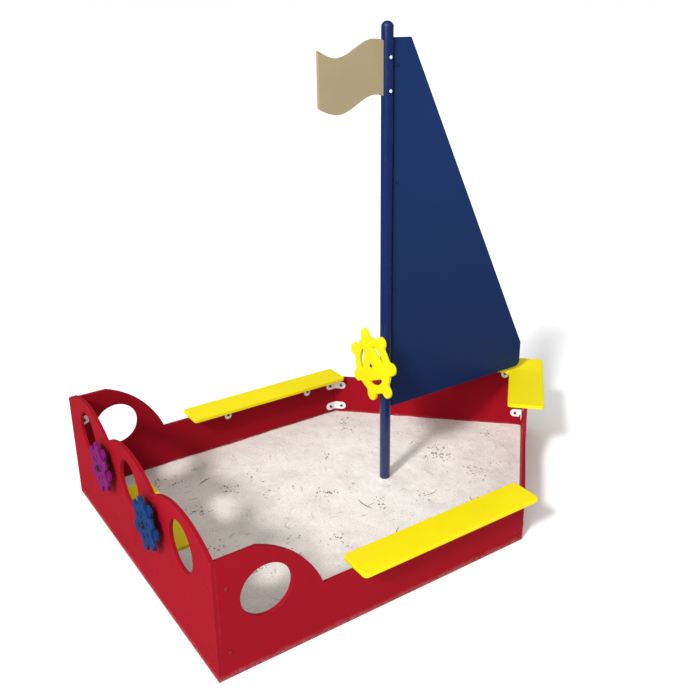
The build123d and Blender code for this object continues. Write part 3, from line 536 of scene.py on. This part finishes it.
def make_twigs(name, draw, kind, material):
    """One piece holding every twig of a kind."""
    bm = bmesh.new()
    for _ in range(kind["count"]):
        spot = random_spot(draw, kind["margin"])
        heading = draw.uniform(0, math.tau)
        length = draw.uniform(*kind["length"])
        radius = draw.uniform(*kind["radius"])
        twig(bm, spot, heading, length, radius, draw.uniform(-kind["curl"], kind["curl"]))
    add_piece(name, bm, material, smooth=True)


def make_litter():
    """Twigs, and clusters of crumbs and bark, scattered in the sand."""
    draw = random.Random(SEED)
    make_twigs("twigs_thin", draw, TWIGS, plant_litter("dry_twig", TWIG_BROWN, TWIG_PALE))
    make_twigs("twigs_thick", draw, STICKS, plant_litter("dark_twig", toned(TWIG_BROWN, 0.6), TWIG_BROWN))
    crumbs = bmesh.new()
    for _ in range(CLUSTERS):
        x, y = random_spot(draw, CLUSTER_MARGIN)
        for _ in range(draw.randint(*CLUSTER_CRUMBS)):
            spot = (x + draw.gauss(0, CLUSTER_SPREAD), y + draw.gauss(0, CLUSTER_SPREAD))
            crumb(crumbs, draw, spot, draw.uniform(*CLUSTER_CRUMB_SIZE))
    for _ in range(LOOSE_CRUMBS):
        crumb(crumbs, draw, random_spot(draw, LOOSE_CRUMB_MARGIN), draw.uniform(*LOOSE_CRUMB_SIZE))
    add_piece("bark_crumbs", crumbs, plant_litter("bark", BARK_BROWN, toned(TWIG_BROWN, 1.2)))


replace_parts(make_sand(), "sand_bed")
make_litter()

# ---- floor, light and camera ----
FLOOR_WHITE = (0.93, 0.93, 0.93)
FLOOR_SIZE = 600.0
CAMERA_PLACE = Vector((-2.5144, -3.4352, 2.59335))
CAMERA_YAW = math.radians(54.746)
CAMERA_PITCH = math.radians(20.883)
CAMERA_LENS = 43.73
CAMERA_SHIFT = (-0.0322, -0.0410)
SUN_TRAVEL = Vector((0.90, 0.40, -0.78))
SUN_STRENGTH = 2.9
SUN_WIDTH = math.radians(8.0)
SKY_STRENGTH = 0.74
SKY_IN_GLOSS = 0.12
BACKDROP_WHITE = 1.0
FILL_PLACE = Vector((-9.4, -5.6, 5.2))
FILL_AIM = Vector((0.3, 0.3, 0.3))
FILL_POWER = 520.0
FILL_SIZE = 6.0


def make_floor():
    g = Graph("studio_floor")
    tint = g.mix(g.noise(0.6, 2), toned(FLOOR_WHITE, 0.995), FLOOR_WHITE)
    bpy.ops.mesh.primitive_plane_add(size=FLOOR_SIZE, location=(0, 0, -GROUND_GAP))
    floor = bpy.context.object
    floor.name = "floor"
    floor.visible_glossy = False
    floor.data.materials.append(g.finish(tint, 0.9, g.bump(g.noise(40, 2), 0.02, 0.001), specular=0.0))


def add_aimed(name, data, place, ahead):
    """A lamp or camera at a place, looking along a direction."""
    aimed = bpy.data.objects.new(name, data)
    aimed.location = place
    aimed.rotation_euler = ahead.to_track_quat("-Z", "Y").to_euler()
    bpy.context.scene.collection.objects.link(aimed)
    return aimed


def make_lights():
    sun = bpy.data.lights.new("key_sun", "SUN")
    sun.energy = SUN_STRENGTH
    sun.angle = SUN_WIDTH
    add_aimed("key_sun", sun, Vector(), SUN_TRAVEL)
    fill = bpy.data.lights.new("fill_panel", "AREA")
    fill.energy = FILL_POWER
    fill.size = FILL_SIZE
    add_aimed("fill_panel", fill, FILL_PLACE, FILL_AIM - FILL_PLACE)


def make_world():
    """An even white sky, dimmer in reflections so that colours stay full, and white where it is seen."""
    world = bpy.data.worlds.new("studio")
    world.use_nodes = True
    tree = world.node_tree
    background = tree.nodes["Background"]
    background.inputs["Color"].default_value = (1, 1, 1, 1)
    path = tree.nodes.new("ShaderNodeLightPath")
    in_gloss = tree.nodes.new("ShaderNodeMapRange")
    in_gloss.inputs["To Min"].default_value = SKY_STRENGTH
    in_gloss.inputs["To Max"].default_value = SKY_IN_GLOSS
    tree.links.new(path.outputs["Is Glossy Ray"], in_gloss.inputs["Value"])
    seen = tree.nodes.new("ShaderNodeMix")
    tree.links.new(path.outputs["Is Camera Ray"], seen.inputs["Factor"])
    tree.links.new(in_gloss.outputs["Result"], seen.inputs["A"])
    seen.inputs["B"].default_value = BACKDROP_WHITE
    tree.links.new(seen.outputs["Result"], background.inputs["Strength"])
    bpy.context.scene.world = world
    bpy.context.scene.view_settings.view_transform = "Standard"


def make_camera():
    data = bpy.data.cameras.new("camera")
    data.lens = CAMERA_LENS
    data.shift_x, data.shift_y = CAMERA_SHIFT
    level = math.cos(CAMERA_PITCH)
    ahead = Vector((math.cos(CAMERA_YAW) * level, math.sin(CAMERA_YAW) * level, -math.sin(CAMERA_PITCH)))
    bpy.context.scene.camera = add_aimed("camera", data, CAMERA_PLACE, ahead)


make_floor()
make_lights()
make_world()
make_camera()
